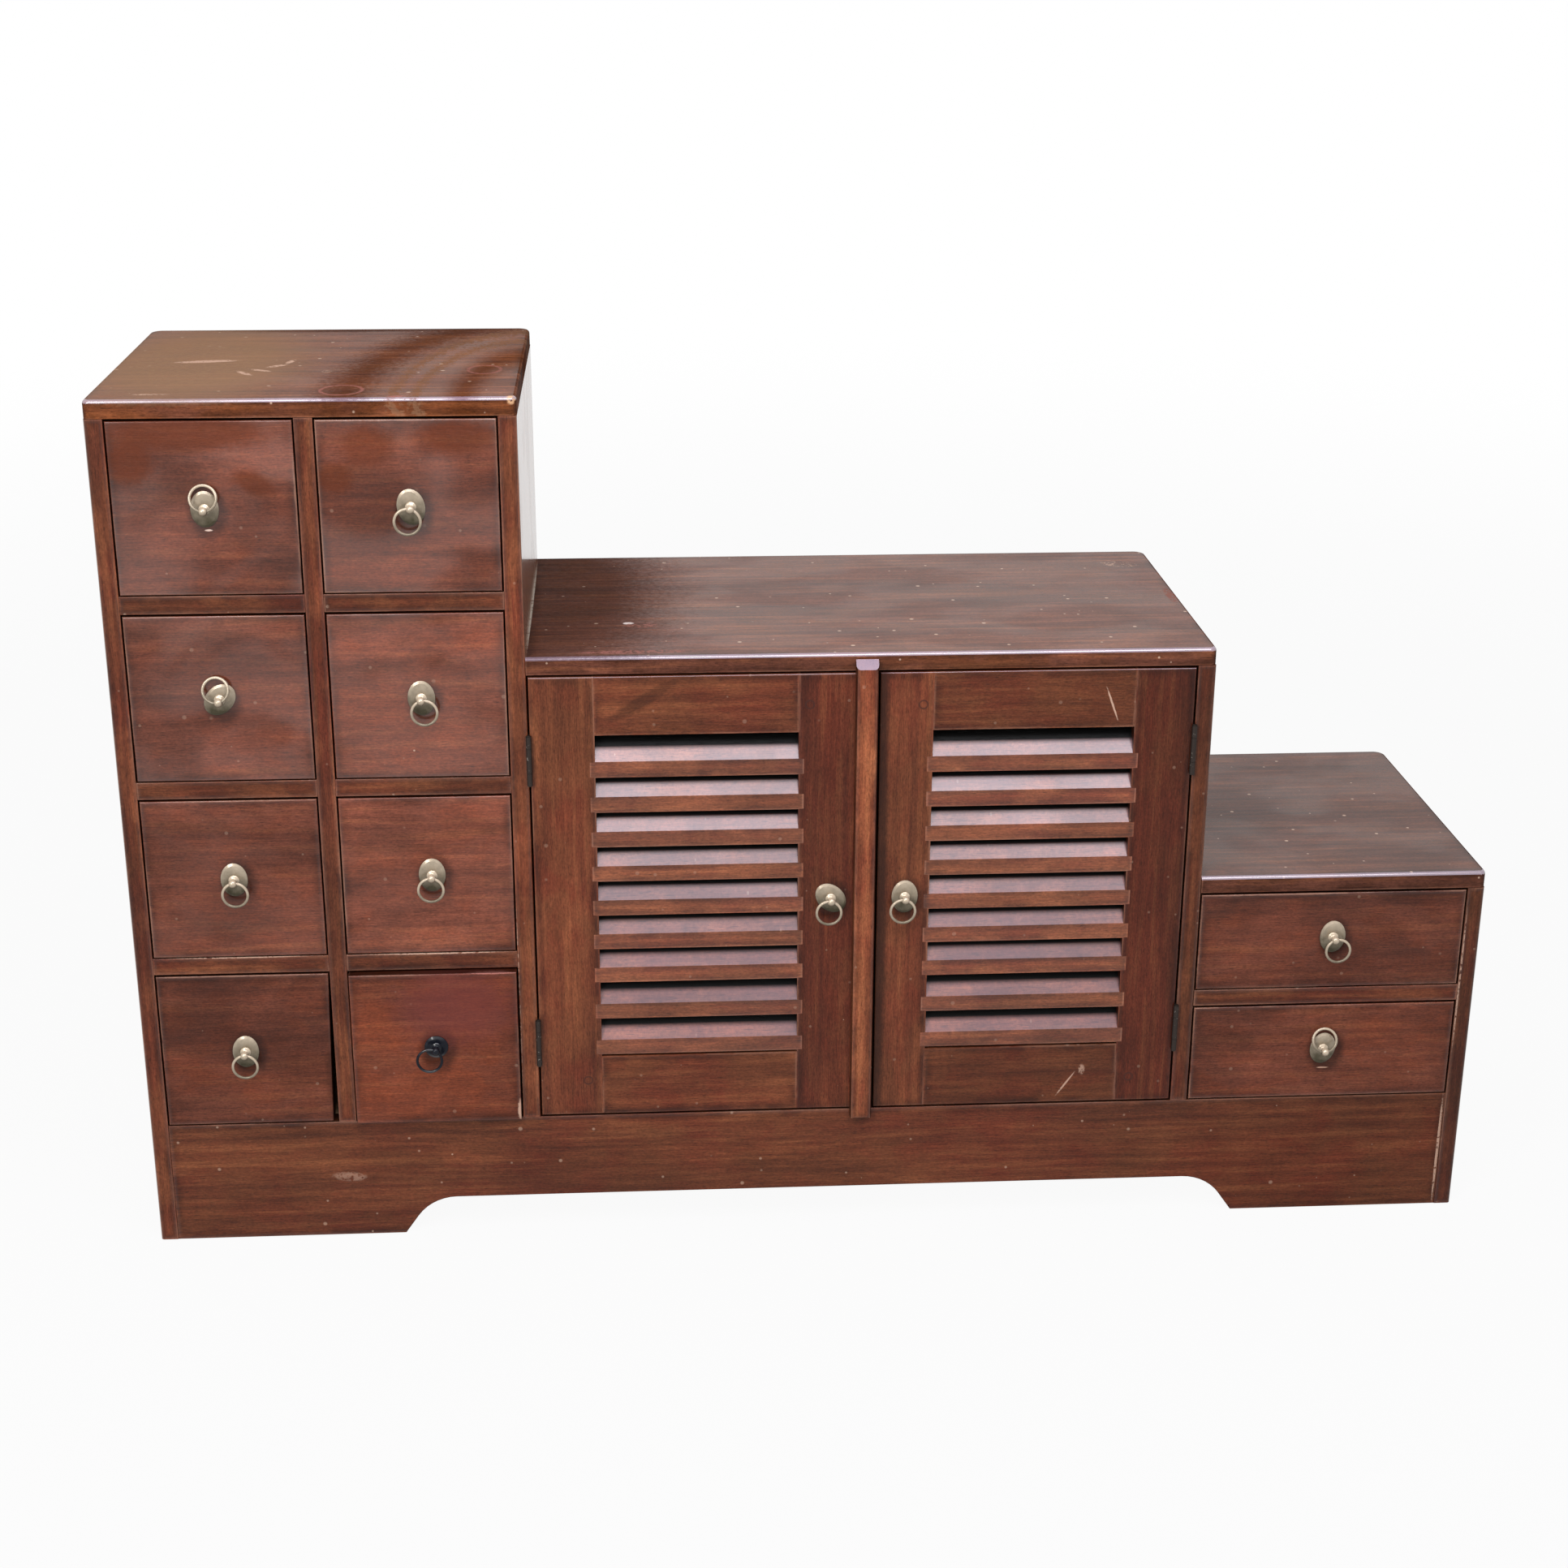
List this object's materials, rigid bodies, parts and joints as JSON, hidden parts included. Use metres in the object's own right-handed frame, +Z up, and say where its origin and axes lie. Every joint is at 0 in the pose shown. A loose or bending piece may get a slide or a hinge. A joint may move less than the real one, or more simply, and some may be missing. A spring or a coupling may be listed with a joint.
{
  "type": "step chest tansu",
  "caption": "Stepped wooden chest with a tower of drawers, a cupboard with two louvred doors and a low part with drawers, on an arched plinth.",
  "frame": {"origin": "on the floor, under the middle of the overall box", "axes": "+X to the right as seen from the front, +Y to the back, +Z up"},
  "size_m": [1.3, 0.3714, 0.838],
  "materials": {
    "stained_wood": "dark red-brown stain under a satin lacquer",
    "raw_wood": "unstained, planed",
    "plywood": "thin sheet, lightly stained",
    "brass": "aged and dull",
    "black_metal": "gloss",
    "hinge_steel": "tarnished"
  },
  "bodies": {
    "case": {"left_side_panel": "stained_wood", "tower_right_panel": "stained_wood", "middle_right_panel": "stained_wood", "right_side_panel": "stained_wood", "tower_divider": "stained_wood", "step_tops": "stained_wood", "plinth_board": "stained_wood", "bottom_board": "raw_wood", "back_panel": "plywood", "drawer_rails": "stained_wood", "hinge_case_leaves": "hinge_steel"},
    "left_door": {"left_door": "stained_wood", "left_door_hinge_leaves": "hinge_steel", "left_door_pull": "brass", "meeting_strip": "stained_wood"},
    "right_door": {"right_door": "stained_wood", "right_door_hinge_leaves": "hinge_steel", "right_door_pull": "brass"},
    "left_door_ring": {"left_door_ring": "brass"},
    "right_door_ring": {"right_door_ring": "brass"},
    "tower_drawer_1": {"tower_drawer_1_front": "stained_wood", "tower_drawer_1_box": "raw_wood", "tower_drawer_1_pull": "brass"},
    "tower_drawer_1_ring": {"tower_drawer_1_ring": "brass"},
    "tower_drawer_2": {"tower_drawer_2_front": "stained_wood", "tower_drawer_2_box": "raw_wood", "tower_drawer_2_pull": "brass"},
    "tower_drawer_2_ring": {"tower_drawer_2_ring": "brass"},
    "tower_drawer_3": {"tower_drawer_3_front": "stained_wood", "tower_drawer_3_box": "raw_wood", "tower_drawer_3_pull": "brass"},
    "tower_drawer_3_ring": {"tower_drawer_3_ring": "brass"},
    "tower_drawer_4": {"tower_drawer_4_front": "stained_wood", "tower_drawer_4_box": "raw_wood", "tower_drawer_4_pull": "brass"},
    "tower_drawer_4_ring": {"tower_drawer_4_ring": "brass"},
    "tower_drawer_5": {"tower_drawer_5_front": "stained_wood", "tower_drawer_5_box": "raw_wood", "tower_drawer_5_pull": "brass"},
    "tower_drawer_5_ring": {"tower_drawer_5_ring": "brass"},
    "tower_drawer_6": {"tower_drawer_6_front": "stained_wood", "tower_drawer_6_box": "raw_wood", "tower_drawer_6_pull": "brass"},
    "tower_drawer_6_ring": {"tower_drawer_6_ring": "brass"},
    "tower_drawer_7": {"tower_drawer_7_front": "stained_wood", "tower_drawer_7_box": "raw_wood", "tower_drawer_7_pull": "brass"},
    "tower_drawer_7_ring": {"tower_drawer_7_ring": "brass"},
    "tower_drawer_8": {"tower_drawer_8_front": "stained_wood", "tower_drawer_8_box": "raw_wood", "tower_drawer_8_pull": "black_metal"},
    "tower_drawer_8_ring": {"tower_drawer_8_ring": "black_metal"},
    "low_drawer_1": {"low_drawer_1_front": "stained_wood", "low_drawer_1_box": "raw_wood", "low_drawer_1_pull": "brass"},
    "low_drawer_1_ring": {"low_drawer_1_ring": "brass"},
    "low_drawer_2": {"low_drawer_2_front": "stained_wood", "low_drawer_2_box": "raw_wood", "low_drawer_2_pull": "brass"},
    "low_drawer_2_ring": {"low_drawer_2_ring": "brass"}
  },
  "joints": [
    {"name": "tower_drawer_1_slide", "type": "slide", "parent": "case", "child": "tower_drawer_1", "axis": [0, -1, 0], "range_m": [0, 0.23]},
    {"name": "tower_drawer_2_slide", "type": "slide", "parent": "case", "child": "tower_drawer_2", "axis": [0, -1, 0], "range_m": [0, 0.23]},
    {"name": "tower_drawer_3_slide", "type": "slide", "parent": "case", "child": "tower_drawer_3", "axis": [0, -1, 0], "range_m": [0, 0.23]},
    {"name": "tower_drawer_4_slide", "type": "slide", "parent": "case", "child": "tower_drawer_4", "axis": [0, -1, 0], "range_m": [0, 0.23]},
    {"name": "tower_drawer_5_slide", "type": "slide", "parent": "case", "child": "tower_drawer_5", "axis": [0, -1, 0], "range_m": [0, 0.23]},
    {"name": "tower_drawer_6_slide", "type": "slide", "parent": "case", "child": "tower_drawer_6", "axis": [0, -1, 0], "range_m": [0, 0.23]},
    {"name": "tower_drawer_7_slide", "type": "slide", "parent": "case", "child": "tower_drawer_7", "axis": [0, -1, 0], "range_m": [0, 0.23]},
    {"name": "tower_drawer_8_slide", "type": "slide", "parent": "case", "child": "tower_drawer_8", "axis": [0, -1, 0], "range_m": [-0.007, 0.223]},
    {"name": "low_drawer_1_slide", "type": "slide", "parent": "case", "child": "low_drawer_1", "axis": [0, -1, 0], "range_m": [0, 0.23]},
    {"name": "low_drawer_2_slide", "type": "slide", "parent": "case", "child": "low_drawer_2", "axis": [0, -1, 0], "range_m": [0, 0.23]},
    {"name": "left_door_swing", "type": "hinge", "parent": "case", "child": "left_door", "pos_m": [-0.27125, -0.16725, 0.35275], "axis": [0, 0, -1], "range_deg": [0, 90]},
    {"name": "right_door_swing", "type": "hinge", "parent": "case", "child": "right_door", "pos_m": [0.35225, -0.16725, 0.35275], "axis": [0, 0, 1], "range_deg": [0, 90]},
    {"name": "tower_drawer_1_ring_swing", "type": "hinge", "parent": "tower_drawer_1", "child": "tower_drawer_1_ring", "pos_m": [-0.5505, -0.17475, 0.7399], "axis": [1, 0, 0], "range_deg": [0, 220]},
    {"name": "tower_drawer_2_ring_swing", "type": "hinge", "parent": "tower_drawer_2", "child": "tower_drawer_2_ring", "pos_m": [-0.3687, -0.17475, 0.7399], "axis": [-0.9659, 0, 0.2588], "range_deg": [-20, 200]},
    {"name": "tower_drawer_3_ring_swing", "type": "hinge", "parent": "tower_drawer_3", "child": "tower_drawer_3_ring", "pos_m": [-0.5505, -0.17475, 0.5619], "axis": [0.9744, 0, 0.225], "range_deg": [0, 220]},
    {"name": "tower_drawer_4_ring_swing", "type": "hinge", "parent": "tower_drawer_4", "child": "tower_drawer_4_ring", "pos_m": [-0.3678, -0.17475, 0.5604], "axis": [-0.9703, 0, -0.2419], "range_deg": [-20, 200]},
    {"name": "tower_drawer_5_ring_swing", "type": "hinge", "parent": "tower_drawer_5", "child": "tower_drawer_5_ring", "pos_m": [-0.5505, -0.17475, 0.3839], "axis": [-0.9925, 0, -0.1219], "range_deg": [-20, 200]},
    {"name": "tower_drawer_6_ring_swing", "type": "hinge", "parent": "tower_drawer_6", "child": "tower_drawer_6_ring", "pos_m": [-0.366, -0.17475, 0.3849], "axis": [-0.9962, 0, 0.0872], "range_deg": [-20, 200]},
    {"name": "tower_drawer_7_ring_swing", "type": "hinge", "parent": "tower_drawer_7", "child": "tower_drawer_7_ring", "pos_m": [-0.5525, -0.17475, 0.2049], "axis": [-1, 0, 0], "range_deg": [-20, 200]},
    {"name": "tower_drawer_8_ring_swing", "type": "hinge", "parent": "tower_drawer_8", "child": "tower_drawer_8_ring", "pos_m": [-0.3695, -0.18175, 0.2084], "axis": [-0.848, 0, 0.5299], "range_deg": [-20, 200]},
    {"name": "low_drawer_1_ring_swing", "type": "hinge", "parent": "low_drawer_1", "child": "low_drawer_1_ring", "pos_m": [0.503, -0.17475, 0.3009], "axis": [-0.9511, 0, -0.309], "range_deg": [-20, 200]},
    {"name": "low_drawer_2_ring_swing", "type": "hinge", "parent": "low_drawer_2", "child": "low_drawer_2_ring", "pos_m": [0.5028, -0.17475, 0.1802], "axis": [0.9998, 0, 0.0175], "range_deg": [0, 220]},
    {"name": "left_door_ring_swing", "type": "hinge", "parent": "left_door", "child": "left_door_ring", "pos_m": [0.011, -0.17505, 0.353], "axis": [-0.9816, 0, 0.1908], "range_deg": [-20, 200]},
    {"name": "right_door_ring_swing", "type": "hinge", "parent": "right_door", "child": "right_door_ring", "pos_m": [0.082, -0.17505, 0.353], "axis": [-0.9781, 0, 0.2079], "range_deg": [-20, 200]}
  ]
}
